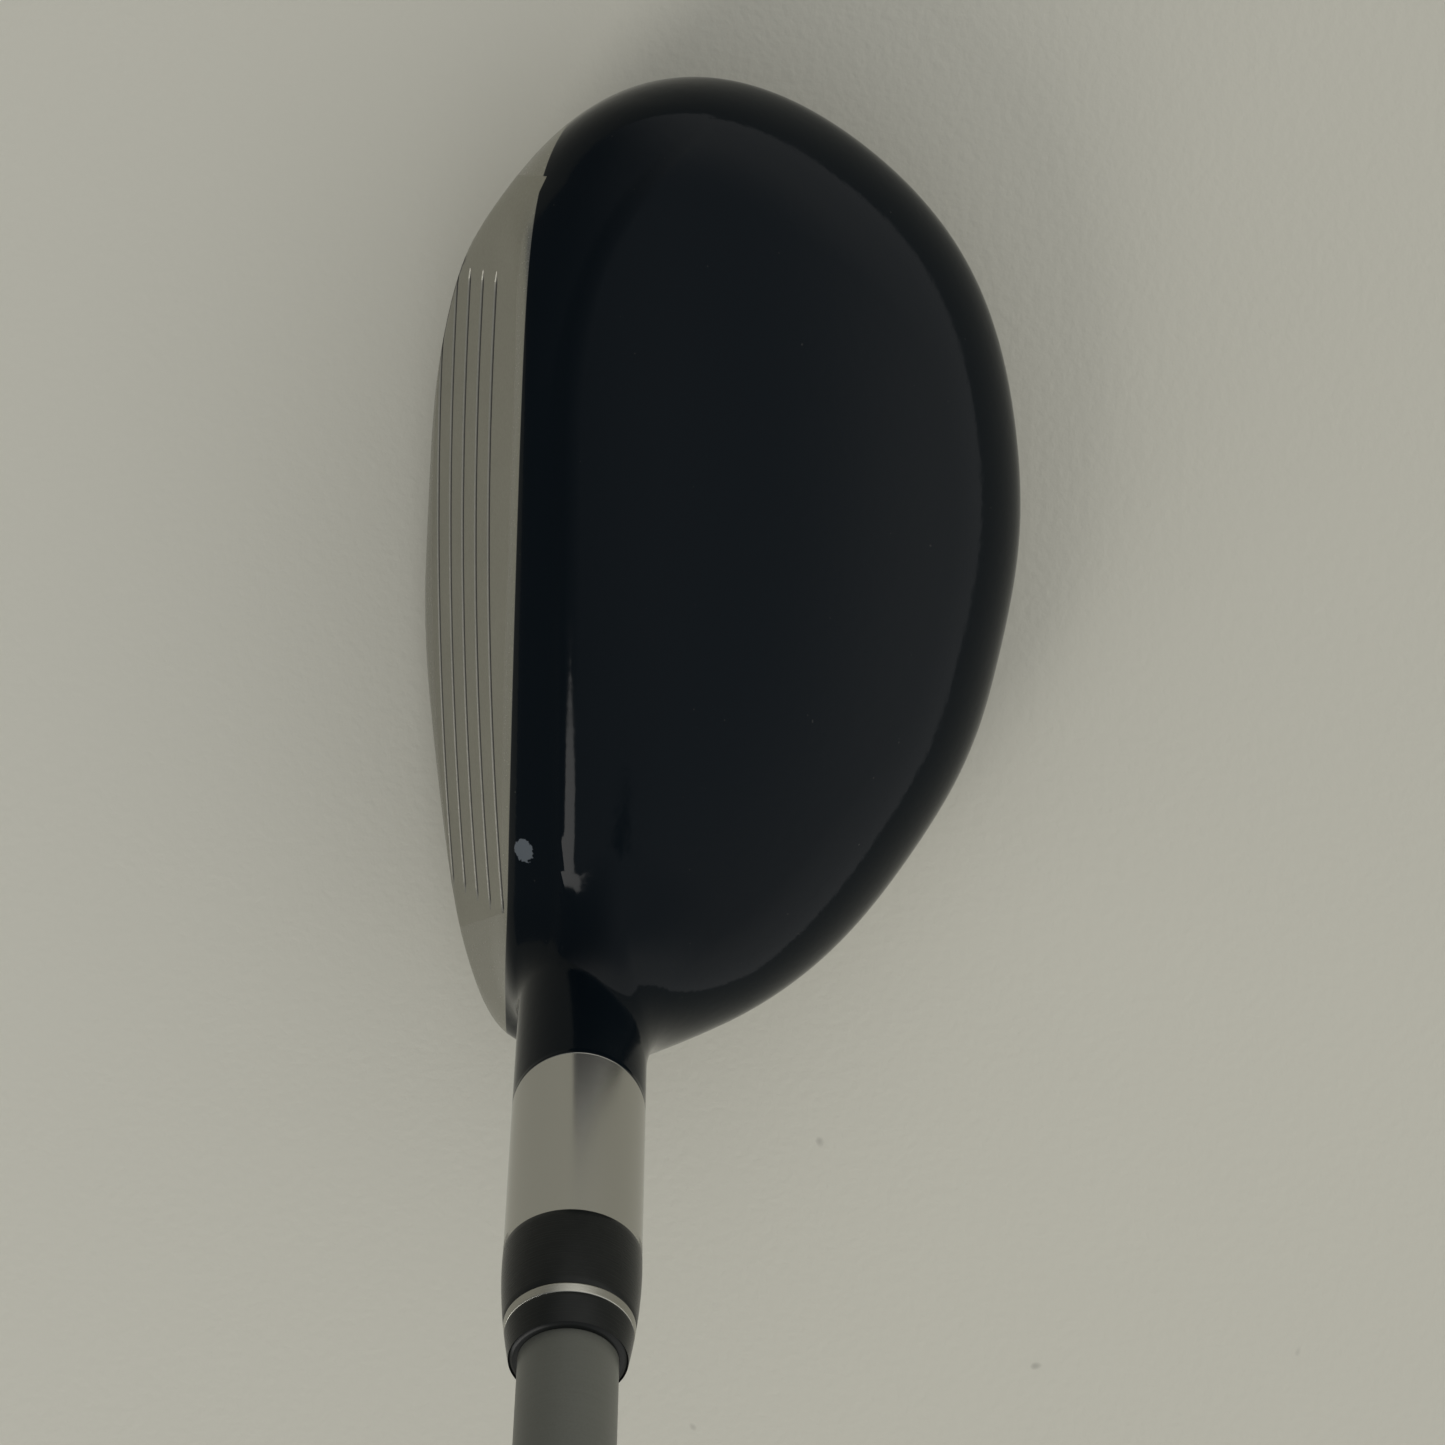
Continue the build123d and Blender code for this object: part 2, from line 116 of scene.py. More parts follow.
class Finish:
    """A material, or the studio's light, and the nodes it is made of."""

    def __init__(self, owner, kind, **plain):
        owner.use_nodes = True
        self.tree = owner.node_tree
        self.shader = next(n for n in self.tree.nodes if n.type == kind)
        self.owner = owner
        for socket, value in plain.items():
            self.shader.inputs[socket.replace("_", " ")].default_value = value

    def node(self, kind, settings=None, sockets=None, output=0):
        node = self.tree.nodes.new("ShaderNode" + kind)
        for name, value in (settings or {}).items():
            setattr(node, name, value)
        for name, value in (sockets or {}).items():
            socket = node.inputs[name]
            if isinstance(value, Shade):
                self.tree.links.new(value.socket, socket)
            elif isinstance(value, tuple) and socket.type == "RGBA":
                socket.default_value = (*value, 1)
            else:
                socket.default_value = value
        return Shade(self.tree, node.outputs[output])

    def place(self, scale=1000.0):
        """Object coordinates, in millimetres unless the scale says otherwise."""
        spot = self.node("TexCoord", output="Object")
        return self.node("VectorMath", {"operation": "SCALE"}, {0: spot, "Scale": scale})

    def split(self, vector):
        node = self.tree.nodes.new("ShaderNodeSeparateXYZ")
        self.tree.links.new(vector.socket, node.inputs[0])
        return [Shade(self.tree, socket) for socket in node.outputs]

    def join(self, x, y, z):
        return self.node("CombineXYZ", None, {"X": x, "Y": y, "Z": z})

    def dot(self, vector, direction):
        return self.node("VectorMath", {"operation": "DOT_PRODUCT"},
                         {0: vector, 1: tuple(direction)}, "Value")

    def away(self, vector, point):
        return self.node("VectorMath", {"operation": "DISTANCE"},
                         {0: vector, 1: tuple(point)}, "Value")

    def rise(self, value, low, high):
        """Nought below low, one above high, eased between them."""
        return self.node("MapRange", {"interpolation_type": "SMOOTHSTEP"},
                         {"Value": value, "From Min": low, "From Max": high})

    def grain(self, vector, scale, detail=2.0, roughness=0.5):
        return self.node("TexNoise", None, {"Vector": vector, "Scale": scale, "Detail": detail,
                                            "Roughness": roughness})

    def mix(self, share, a, b):
        return self.node("Mix", {"data_type": "RGBA"}, {0: share, 6: a, 7: b}, 2)

    def feed(self, **sockets):
        for name, value in sockets.items():
            self.tree.links.new(value.socket, self.shader.inputs[name.replace("_", " ")])

    def bump(self, height, distance, strength=1.0):
        self.feed(Normal=self.node("Bump", None, {"Strength": strength, "Distance": distance,
                                                  "Height": height}))

    def wear(self, *pieces):
        for piece in pieces:
            if not piece.material_slots:
                piece.data.materials.append(self.owner)
            for slot in piece.material_slots:
                slot.material = self.owner


def material(name, **plain):
    return Finish(bpy.data.materials.new(name), "BSDF_PRINCIPLED", **plain)


world = bpy.data.worlds.new("studio")
bpy.context.scene.world = world
studio = Finish(world, "BACKGROUND")
sky = studio.split(studio.node("TexCoord", output="Generated"))
rear_side = studio.rise(sky[1], -0.75, 0.25)
overhead = studio.rise(sky[2], 0.35, 0.9)
dim_front, bright_sides, dim_top = (0.20, 0.21, 0.22), (1.33, 1.32, 1.27), (0.66, 0.68, 0.70)
studio.feed(Color=studio.mix(rear_side, dim_front, studio.mix(overhead, bright_sides, dim_top)))

lamp_data = bpy.data.lights.new("side_lamp", "AREA")
lamp_data.shape = "RECTANGLE"
lamp_data.size, lamp_data.size_y = 0.5, 1.5
lamp_data.energy = 12
lamp_data.color = (1.0, 0.98, 0.94)
lamp = bpy.data.objects.new("side_lamp", lamp_data)
lamp.location = (1.1, -1.0, 0.9)
lamp.rotation_euler = (Vector((0, 0, 0)) - lamp.location).to_track_quat("-Z", "Y").to_euler()
bpy.context.collection.objects.link(lamp)

bpy.ops.mesh.primitive_plane_add(size=60, location=(0, 0, 0))
floor = bpy.context.active_object
floor.name = "studio_floor"
painted_board = material("painted_board", Roughness=0.75)
board = painted_board.place(1.0)
board_tint = painted_board.grain(board, 2.2, 3)
board_tooth = painted_board.grain(board, 900, 4)
specks = painted_board.rise(painted_board.grain(board, 130, 1), 0.795, 0.82)
warm_board, pale_board = (0.505, 0.487, 0.405), (0.515, 0.505, 0.45)
speck_brown = (0.12, 0.11, 0.10)
painted_board.feed(Base_Color=painted_board.mix(
    specks * 0.55, painted_board.mix(board_tint, warm_board, pale_board), speck_brown))
painted_board.bump(board_tooth, 0.0002, 0.4)
painted_board.wear(floor)

# ==== Head skin ==================================================================
# One hollow steel casting with its neck and hosel, painted gloss black on the
# crown, band, skirt and neck.  The steel is bare on the face, where it is blasted,
# on the sole, where it is brushed, and at the top of the hosel, where it is turned.
MM = 0.001
hosel_axis = np.array(shaft_axis)
hosel_foot = np.array(shaft_foot) / MM
hosel_radius = 6.6
hosel_top = 68.0
face_ahead = 19.8
face_foot = np.array([0, -face_ahead, 0])
loft = radians(21.6)
face_normal = np.array([0, -cos(loft), sin(loft)])
face_radius = 450.0
face_roll = 1500.0
face_up = np.array([0, sin(loft), cos(loft)])
outline_middle = np.array([0.0, 14.0])
crown_peak, side_arc, crown_rear_arc = 36.5, 150.2, 50.2
sole_rear_arc, sole_flat_depth = 110.3, 0.35
crown_round, sole_round = 10.0, 11.0
skirt_swell, skirt_tuck, skirt_middle, skirt_half = 1.5, 1.3, 17, 13
longest_ray = 70.0

# Plan of the head at its widest, seen from above: heel, rear, toe, then the hidden
# part that lies ahead of the face.
plan = np.array([
    (48.0, 3), (46.2, 12.6), (38.4, 24.0), (32.8, 29.6), (26.4, 35.0), (18.5, 39.8), (9.9, 43.3),
    (1.5, 45.7), (-7, 46.8), (-15.5, 46.6), (-23.8, 44.8), (-32.2, 40.8), (-39.6, 34.8),
    (-47.4, 23.2), (-50.8, 12), (-47.6, 1.4), (-43.8, -3.2), (-37.4, -8.6), (-29.4, -13.4),
    (-18, -18.5), (0, -21.5), (18, -21), (33, -17.8), (44, -13), (47.6, -5),
])
plan_offset = plan - outline_middle
plan_angle = np.arctan2(plan_offset[:, 1], plan_offset[:, 0])
wave_count = 9
waves = np.arange(wave_count)


def wave_table(angle):
    return np.concatenate([np.cos(np.multiply.outer(angle, waves)),
                           np.sin(np.multiply.outer(angle, waves[1:]))], axis=-1)


# A fair curve through the plan: waves of higher number are held down.
stiffness = np.diag(0.0045 * np.concatenate([waves, waves[1:]]) ** 2)
plan_waves = np.linalg.lstsq(
    np.vstack([wave_table(plan_angle), stiffness]),
    np.concatenate([np.hypot(plan_offset[:, 0], plan_offset[:, 1]), np.zeros(len(stiffness))]),
    rcond=None)[0]
slope_waves = np.concatenate([[0], waves[1:] * plan_waves[wave_count:],
                              -waves[1:] * plan_waves[1:wave_count]])


def smooth_max(a, b, reach):
    nearness = np.maximum(reach - np.abs(a - b), 0) / reach
    return np.maximum(a, b) + nearness**2 * reach / 4


def ease(value, low, high):
    t = np.clip((value - low) / (high - low), 0, 1)
    return t * t * (3 - 2 * t)


def crease_line(x):
    """How far behind the shaft plane the crown rises out of the front band."""
    toe_sweep = np.maximum(-18 - x, 0)
    return -1.9 - 0.012 * (x - 20) + 0.0098 * toe_sweep**2 + 0.0000065 * toe_sweep**4


def crown_height(x, y):
    dome = crown_peak - (x + 10) ** 2 / (2 * side_arc) - (y - 4) ** 2 / (2 * crown_rear_arc)
    ahead = crease_line(x) - y
    heel_fall = 0.08 + 0.40 * ease(x, -40, 12) - 0.15 * ease(x, 25, 45)
    step = 0.45 * ease(ahead, -1.6, 1.4) + heel_fall * np.maximum(ahead, 0)
    return dome - step * ease(x, 44, 30) * ease(x, -50, -42)


def sole_height(x, y):
    return x**2 / (2 * side_arc) + y**2 / (2 * sole_rear_arc) - sole_flat_depth


def slope_of(surface, x, y):
    d = 0.05
    return np.hypot((surface(x + d, y) - surface(x - d, y)) / (2 * d),
                    (surface(x, y + d) - surface(x, y - d)) / (2 * d))


def hosel_form(p):
    away = p - hosel_foot
    along = away @ hosel_axis
    across = np.linalg.norm(away - np.multiply.outer(along, hosel_axis), axis=-1)
    return smooth_max(across - hosel_radius, 26 - along, 3)


def head_form(p):
    """Depth below the head's skin, in millimetres: negative inside, zero on the skin."""
    x, y, z = p[..., 0], p[..., 1], p[..., 2]
    crown = (z - crown_height(x, y)) / np.sqrt(1 + slope_of(crown_height, x, y) ** 2)
    sole = (sole_height(x, y) - z) / np.sqrt(1 + slope_of(sole_height, x, y) ** 2)
    sole = smooth_max(sole, -z, 0.3)
    from_middle = p[..., :2] - outline_middle
    out = np.maximum(np.hypot(from_middle[..., 0], from_middle[..., 1]), 1)
    table = wave_table(np.arctan2(from_middle[..., 1], from_middle[..., 0]))
    skirt = (out - table @ plan_waves) / np.hypot(1, (table @ slope_waves) / np.maximum(out, 25))
    skirt = skirt + skirt_tuck * ((z - skirt_middle) / skirt_half) ** 2 - skirt_swell
    face = ((p - face_foot) @ face_normal + x**2 / (2 * face_radius)
            + ((p - face_foot) @ face_up) ** 2 / (2 * face_roll))
    body = smooth_max(skirt, sole, sole_round)
    body = smooth_max(body, crown, crown_round)
    edge = 0.9 + 2.0 * ease(z, 16, 6) + 2.4 * ease(x, -40, -49) + 1.5 * ease(x, 36, 46)
    body = smooth_max(body, face, edge)
    return -smooth_max(-body, -hosel_form(p), 4.0 + 6.5 * ease(-face, 1, 9))


def cast(origin, direction, depth):
    """Points where rays leave the head's skin, or a level below it."""
    near, far = np.zeros(direction.shape[:-1]), np.full(direction.shape[:-1], longest_ray)
    for _ in range(24):
        middle = (near + far) / 2
        inside = head_form(origin + direction * middle[..., None]) < -depth
        near, far = np.where(inside, middle, near), np.where(inside, far, middle)
    return origin + direction * near[..., None]


# The skin is a grid wrapped round the head in rings: upright rings from the toe to
# the heel, then rings that fan over a hinge line until they are square to the hosel.
fan_hinge = np.array([20.0, 62.0])
toe_search = np.stack(np.meshgrid(-45.0, np.linspace(5, 22, 35), np.linspace(10, 24, 29)), -1)
toe_reach = cast(toe_search, np.broadcast_to([-1.0, 0, 0], toe_search.shape), 0.0)
toe_tip, toe_back, toe_rise = toe_reach.reshape(-1, 3)[np.argmin(toe_reach[..., 0])]
toe_middle = np.array([-45.0, toe_back, toe_rise])
toe_rings = toe_tip + 24 * (1 - np.cos(np.linspace(0.02, pi / 2, 44))) ** 1.15
upright = np.concatenate([toe_rings, np.arange(toe_rings[-1] + 0.9, fan_hinge[0], 0.9)])
fan = np.arange(-90, -30 - 0.4, 0.85)
ring_up, ring_middle = [], []
for x in upright:
    ring_up.append((0.0, 1.0))
    blend = ease(x, toe_tip, -30)
    ring_middle.append((x, toe_back + (11.5 - toe_back) * blend - 2.5 * ease(x, -30, 20),
                        toe_rise + (19.0 - toe_rise) * blend))
for turn in fan:
    along = np.interp(turn, (-90, -60, -45, -30), (43, 42, 36, 34.6))
    back = np.interp(turn, (-90, -60, -45, -30), (9.0, 4.0, 0.6, 0.0))
    ring_up.append((-cos(radians(turn)), -sin(radians(turn))))
    ring_middle.append((fan_hinge[0] + along * cos(radians(turn)), back,
                        fan_hinge[1] + along * sin(radians(turn))))
square_start = (np.array([ring_middle[-1][0], 0, ring_middle[-1][2]]) - hosel_foot) @ hosel_axis
for along in np.append(np.arange(square_start + 0.5, hosel_top - 0.35, 0.7), hosel_top - 0.25):
    centre = hosel_foot + hosel_axis * along
    ring_up.append((-sin(radians(60)), cos(radians(60))))
    ring_middle.append(tuple(centre))
ring_up = np.array(ring_up)
ring_middle = np.array(ring_middle)


edge_bulge, edge_roll = 837, 2400


def edge_curve(height):
    """Where the face meets the crown or the sole, toe to heel."""
    x = np.linspace(-51, 50, 160)
    y = np.full_like(x, -10.0)
    for _ in range(30):
        z = height(x, y)
        y = -face_ahead + z * tan(loft) + x**2 / edge_bulge + z**2 / edge_roll
    return np.stack([x, y, height(x, y)], axis=-1)


def plan_curve(inward, height):
    x = np.linspace(-47, 46, 120)
    y = np.interp(x, [-52, -48.6, -39.8, -23.5, -7, 9.7, 26.7, 39.9, 48.4, 51],
                  [12, 23.8, 34.9, 43.4, 45.3, 42.7, 35.4, 25.1, 13.2, 5]) - inward
    return np.stack([x, y, np.full_like(x, height)], axis=-1)


def ring_angle(curve, fallback):
    """The direction from each ring's middle to where a long curve crosses that ring."""
    angle = []
    for i in range(len(ring_middle)):
        if i < len(upright):
            place = curve[:, 0] - ring_middle[i, 0]
        else:
            turn = np.arctan2(curve[:, 2] - fan_hinge[1], curve[:, 0] - fan_hinge[0])
            own = atan2(ring_middle[i, 2] - fan_hinge[1], ring_middle[i, 0] - fan_hinge[0])
            place = turn - own
        if place.min() > 0 or place.max() < 0:
            angle.append(np.nan)
            continue
        p = np.array([np.interp(0, place, curve[:, k]) for k in range(3)]) - ring_middle[i]
        angle.append(atan2(p[1], p[0] * ring_up[i, 0] + p[2] * ring_up[i, 1]))
    angle = np.array(angle)
    known = np.flatnonzero(~np.isnan(angle))
    angle = np.interp(np.arange(len(angle)), known, np.unwrap(angle[known]))
    settle = ease(np.arange(len(angle)), known[-1] - 30, known[-1] + 10)
    return angle * (1 - settle) + fallback * settle


crown_front = ring_angle(edge_curve(crown_height), -0.9)
lead_front = ring_angle(edge_curve(sole_height), -2.4)
crease_x = np.linspace(-47, 40, 120)
crease_y = crease_line(crease_x)
crease = np.stack([crease_x, crease_y, crown_height(crease_x, crease_y)], -1)
crease_angle = ring_angle(crease, -0.45)
crown_back = ring_angle(plan_curve(5.0, 24), 1.2)
sole_back = ring_angle(plan_curve(6.0, 8), 2.2)

# Rows run round each ring: front band, crown, skirt, sole, face.
band_rows, crown_rows, skirt_rows, sole_rows, face_rows = 16, 70, 26, 44, 56
turns = np.concatenate([
    np.linspace(start, end, rows, endpoint=False)
    for start, end, rows in (
        (crown_front, crease_angle, band_rows),
        (crease_angle, crown_back, crown_rows),
        (crown_back, sole_back, skirt_rows),
        (sole_back, lead_front + 2 * pi, sole_rows),
        (lead_front + 2 * pi, crown_front + 2 * pi, face_rows),
    )
]).T
ring_count, row_count = turns.shape
ray = np.stack([ring_up[:, :1] * np.cos(turns), np.sin(turns), ring_up[:, 1:] * np.cos(turns)], -1)


def form_normal(p):
    steps = np.eye(3) * 0.04
    slope = np.stack([head_form(p + s) - head_form(p - s) for s in steps], axis=-1)
    return slope / np.linalg.norm(slope, axis=-1, keepdims=True)


wall = 1.8
outside = cast(ring_middle[:, None, :], ray, 0.0)
inside = cast(ring_middle[:, None, :], ray, wall)
mouth = hosel_foot + hosel_axis * hosel_top
outside[-1] = mouth + ray[-1] * (hosel_radius - 0.2)
inside[-1] = mouth + ray[-1] * (hosel_radius - wall)
toe_ray = np.array([[-1.0, 0, 0]])
poles = np.concatenate([cast(toe_middle, toe_ray, 0.0), cast(toe_middle, toe_ray, wall)])
skin_points = np.concatenate([outside.reshape(-1, 3), inside.reshape(-1, 3), poles])
skin_normals = form_normal(skin_points)
level = ring_count * row_count
skin_normals[level:2 * level] *= -1
skin_normals[2 * level + 1] *= -1


def skin_piece(name, keep):
    """A closed piece of the skin: outer faces, inner faces and the walls round its edge."""
    corner = np.arange(level).reshape(ring_count, row_count)
    quads = np.stack([corner[:-1], corner[1:], np.roll(corner, -1, 1)[1:],
                      np.roll(corner, -1, 1)[:-1]], axis=-1)[keep]
    faces = [tuple(int(n) for n in q) for q in quads]
    if keep[0].all():
        for j in range(row_count):
            faces.append((2 * level, int(corner[0, j]), int(corner[0, (j + 1) % row_count])))
    sides = {}
    for face in faces:
        for a, b in zip(face, face[1:] + face[:1]):
            sides[(a, b)] = True
    edge = [(a, b) for a, b in sides if (b, a) not in sides]
    deeper = {2 * level: 2 * level + 1}
    back = [tuple(deeper.get(n, n + level) for n in reversed(face)) for face in faces]
    walls = [(b, a, a + level, b + level) for a, b in edge]
    every = faces + back + walls
    used = sorted({n for face in every for n in face})
    renumber = {old: new for new, old in enumerate(used)}
    mesh = bpy.data.meshes.new(name)
    mesh.from_pydata([tuple(skin_points[n] * MM) for n in used], [],
                     [tuple(renumber[n] for n in face) for face in every])
    mesh.validate()
    mesh.polygons.foreach_set("use_smooth", [True] * len(mesh.polygons))
    piece = bpy.data.objects.new(name, mesh)
    bpy.context.collection.objects.link(piece)
    normal_of = {new: skin_normals[old] for new, old in enumerate(used)}
    skin_faces = len(faces) + len(back)
    loop_normals = []
    for polygon in mesh.polygons:
        for n in polygon.vertices:
            if polygon.index < skin_faces:
                loop_normals.append(tuple(normal_of[n]))
            else:
                loop_normals.append(tuple(polygon.normal))
    mesh.normals_split_custom_set(loop_normals)
    return piece


crown_start = int(np.argmax(ring_middle[:, 0] > -43.5))
crown_end = len(upright) + 10
all_faces = np.ones((ring_count - 1, row_count), bool)
crown_faces = np.zeros_like(all_faces)
crown_faces[crown_start:crown_end, band_rows:band_rows + crown_rows] = True
insert_faces = np.zeros_like(all_faces)
insert_start = int(np.argmax(ring_middle[:, 0] > -42.5))
insert_end = len(upright) + 22
insert_low = row_count - face_rows + 7
insert_faces[insert_start:insert_end, insert_low:row_count - 5] = True
head_skin = skin_piece("head_skin", all_faces & ~crown_faces & ~insert_faces)
crown_skin = skin_piece("crown_skin", crown_faces)
face_insert = skin_piece("face_insert", insert_faces)
for piece, node, slot in ((head_skin, "head_body", "head_paint"),
                          (crown_skin, "crown_plate", "crown_paint"),
                          (face_insert, "face_plate", "face_steel")):
    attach(piece, "root")
    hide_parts(node)

black_paint = (0.0020, 0.0040, 0.0060)
enamel = {"Specular_IOR_Level": 0.10, "Roughness": 0.1}


def paint_gloss(finish, place):
    """How rough the enamel is: polished, with faint smudges and hairline rubbing."""
    smudge = finish.rise(finish.grain(place, 0.06, 4, 0.65), 0.45, 0.75)
    hairline = finish.grain(finish.node("Mapping", None, {
        "Vector": place, "Rotation": (0, 0, 0.6), "Scale": (3.0, 0.12, 3.0)}), 1.4, 2)
    return 0.10 + smudge * 0.10 + finish.rise(hairline, 0.62, 0.75) * 0.05


def paint_dust(finish, place):
    return finish.rise(finish.grain(place, 1.7, 1), 0.80, 0.84)


skin_finish = material("painted_casting", **enamel)
skin_place = skin_finish.place()
skin_x, skin_y, skin_z = skin_finish.split(skin_place)


def below_face(finish, place, x):
    """Depth behind the curved face, in millimetres."""
    height = finish.dot(place, face_up) - float(face_foot @ face_up)
    return (float(face_foot @ face_normal) - finish.dot(place, face_normal)
            - x * x / (2 * face_radius) - height * height / (2 * face_roll))


toe_turn = skin_finish.node("Math", {"operation": "EXPONENT"}, {0: (skin_x + 44.1) * -0.216})
topline = skin_y + 6.5 + skin_x * 0.045 - toe_turn * 1.5
bare_face = 1 - skin_finish.rise(topline, 0.0, 0.1)
neck_side = np.array([-hosel_axis[2], 0, hosel_axis[0]])
paint_slope = 0.26
from_foot = float(hosel_foot @ (hosel_axis + paint_slope * neck_side))
up_neck = skin_finish.dot(skin_place, hosel_axis + paint_slope * neck_side) - from_foot
bare_hosel = skin_finish.rise(up_neck, 49.15, 49.3) * skin_finish.rise(skin_x, 30, 32)
paint_lip = skin_finish.rise(up_neck, 48.6, 49.0) * (1 - bare_hosel) * skin_finish.rise(
    skin_x, 30, 32)
sole_line = skin_z + (skin_x + 4) * (skin_x + 4) * -0.0016
bare_sole = 1 - skin_finish.rise(sole_line, 5.6, 5.75)
bare = skin_finish.node("Clamp", None, {"Value": bare_face + bare_hosel + bare_sole})
brush = skin_finish.grain(skin_finish.node("Mapping", None, {
    "Vector": skin_place, "Scale": (0.15, 6.0, 6.0)}), 1.2, 3)
turning = skin_finish.grain(skin_finish.join(up_neck * 9.0, 0.0, 0.0), 1.0, 3)
blast = skin_finish.grain(skin_place, 3.2, 3)
metal_mark = blast * bare_face + brush * bare_sole + turning * bare_hosel
bare_colour = skin_finish.mix(bare_hosel, skin_finish.mix(
    metal_mark, (0.29, 0.285, 0.25), (0.37, 0.365, 0.33)), (0.42, 0.415, 0.385))
paint_colour = skin_finish.mix(paint_dust(skin_finish, skin_place) * 0.10,
                               black_paint, (0.20, 0.19, 0.17))
# A chip in the paint of the front band, down to the grey primer.
chip = 1 - skin_finish.rise(skin_finish.away(skin_place, (25.05, -5.9, 29.0))
                            + skin_finish.grain(skin_place, 2.5, 2) * 0.9, 1.6, 1.7)
paint_colour = skin_finish.mix(chip * 0.6, paint_colour, (0.16, 0.18, 0.20))
skin_finish.feed(
    Base_Color=skin_finish.mix(bare, paint_colour, bare_colour),
    Metallic=bare,
    Roughness=(1 - bare) * paint_gloss(skin_finish, skin_place)
    + bare_face * 0.24 + bare_sole * (1 - bare_face) * 0.30 + bare_hosel * 0.13
    + metal_mark * bare * 0.05)
skin_finish.bump(metal_mark * (1 - bare_hosel * 0.8) * bare * 0.5
                 + skin_finish.grain(skin_place, 0.9, 1) * (1 - bare) * 0.6 + paint_lip * 1.5,
                 0.00003, 0.7)
skin_finish.wear(head_skin)

crown_finish = material("painted_crown", **enamel)
crown_place = crown_finish.place()
crown_finish.feed(
    Base_Color=crown_finish.mix(paint_dust(crown_finish, crown_place) * 0.10,
                                black_paint, (0.20, 0.19, 0.17)),
    Roughness=paint_gloss(crown_finish, crown_place))
crown_finish.bump(crown_finish.grain(crown_place, 0.9, 1) * 0.6, 0.00003, 0.7)
crown_finish.wear(crown_skin)

# ==== Face insert ================================================================
# A blasted steel face, let into the front of the casting and welded flush.  Six
# grooves are milled across its middle.
groove_length, groove_width, groove_depth = 66.0, 0.85, 0.4
groove_heights = [7.0 + 4.1 * n for n in range(6)]
groove_stations, groove_corners = 61, 6
smallest_gap = 0.004 * MM


def select_none():
    if bpy.context.mode != "OBJECT":
        bpy.ops.object.mode_set(mode="OBJECT")
    bpy.ops.object.select_all(action="DESELECT")


def pick(piece):
    select_none()
    piece.select_set(True)
    bpy.context.view_layer.objects.active = piece


def carve(piece, cutter):
    """Cuts the cutter out of the piece, and closes the tiny gaps that the cut leaves."""
    pick(piece)
    bpy.ops.object.modifier_add(type="BOOLEAN")
    piece.modifiers[-1].object = cutter
    piece.modifiers[-1].operation = "DIFFERENCE"
    piece.modifiers[-1].solver = "EXACT"
    bpy.ops.object.modifier_apply(modifier=piece.modifiers[-1].name)
    pick(cutter)
    bpy.ops.object.delete()
    pick(piece)
    bpy.ops.object.mode_set(mode="EDIT")
    bpy.ops.mesh.select_all(action="SELECT")
    bpy.ops.mesh.remove_doubles(threshold=smallest_gap)
    bpy.ops.mesh.dissolve_degenerate(threshold=smallest_gap)
    bpy.ops.object.mode_set(mode="OBJECT")


cut_rings = []
for height in groove_heights:
    for along in np.linspace(-groove_length / 2, groove_length / 2, groove_stations):
        near_end = min(1.0, (groove_length / 2 - abs(along)) / 1.2 + 0.05)
        ring = []
        for across, lift in ((-0.5, 0.5), (-0.5, 0.0), (-0.22, -1.0), (0.22, -1.0),
                             (0.5, 0.0), (0.5, 0.5)):
            up = height + across * groove_width * near_end**0.5
            out = (lift * groove_depth * near_end if lift < 0 else lift
                   ) - along**2 / (2 * face_radius) - up**2 / (2 * face_roll)
            ring.append(face_foot + face_up * up + face_normal * out + np.array([along, 0, 0]))
        cut_rings.append(ring)
cut_points = (np.array(cut_rings).reshape(-1, 3) * MM).tolist()
cut_faces = []
for groove in range(len(groove_heights)):
    first = groove * groove_stations * groove_corners
    last = first + (groove_stations - 1) * groove_corners
    for ring_start in range(first, last, groove_corners):
        for j in range(groove_corners):
            a, b = ring_start + j, ring_start + (j + 1) % groove_corners
            cut_faces.append((a, b, b + groove_corners, a + groove_corners))
    cut_faces.append(tuple(first + j for j in reversed(range(groove_corners))))
    cut_faces.append(tuple(last + j for j in range(groove_corners)))
groove_mesh = bpy.data.meshes.new("groove_cutter")
groove_mesh.from_pydata(cut_points, [], cut_faces)
groove_cutter = bpy.data.objects.new("groove_cutter", groove_mesh)
bpy.context.collection.objects.link(groove_cutter)
pick(groove_cutter)
bpy.ops.object.mode_set(mode="EDIT")
bpy.ops.mesh.select_all(action="SELECT")
bpy.ops.mesh.normals_make_consistent(inside=False)
bpy.ops.object.mode_set(mode="OBJECT")
carve(face_insert, groove_cutter)
pick(face_insert)
bpy.ops.mesh.customdata_custom_splitnormals_clear()
bpy.ops.object.shade_smooth_by_angle(angle=radians(25))

blasted = material("blasted_face", Metallic=1.0)
blasted_place = blasted.place()
grit = blasted.grain(blasted_place, 3.2, 3)
stain = blasted.grain(blasted_place, 0.12, 4, 0.6)
blasted_x = blasted.split(blasted_place)[0]
blasted_up = blasted.dot(blasted_place, face_up) - float(face_foot @ face_up)
# Painted shade: inside the grooves the steel is coloured near black, less metallic and rougher,
# standing in for the shade that falls in them.
painted_groove_shade = (blasted.rise(below_face(blasted, blasted_place, blasted_x), 0.03, 0.2)
               * blasted.rise(blasted_x * blasted_x, 34.5**2, 33.5**2)
               * blasted.rise(blasted_up, 5.5, 6.2) * blasted.rise(blasted_up, 29.5, 28.7))
blasted.feed(
    Metallic=1 - painted_groove_shade * 0.9,
    Base_Color=blasted.mix(painted_groove_shade, blasted.mix(
        grit * 0.5 + stain * 0.5, (0.27, 0.262, 0.225), (0.38, 0.372, 0.325)),
        (0.030, 0.028, 0.024)),
    Roughness=0.40 + stain * 0.08 - grit * 0.05 + painted_groove_shade * 0.3)
blasted.bump(grit, 0.00004, 0.6)
blasted.wear(face_insert)

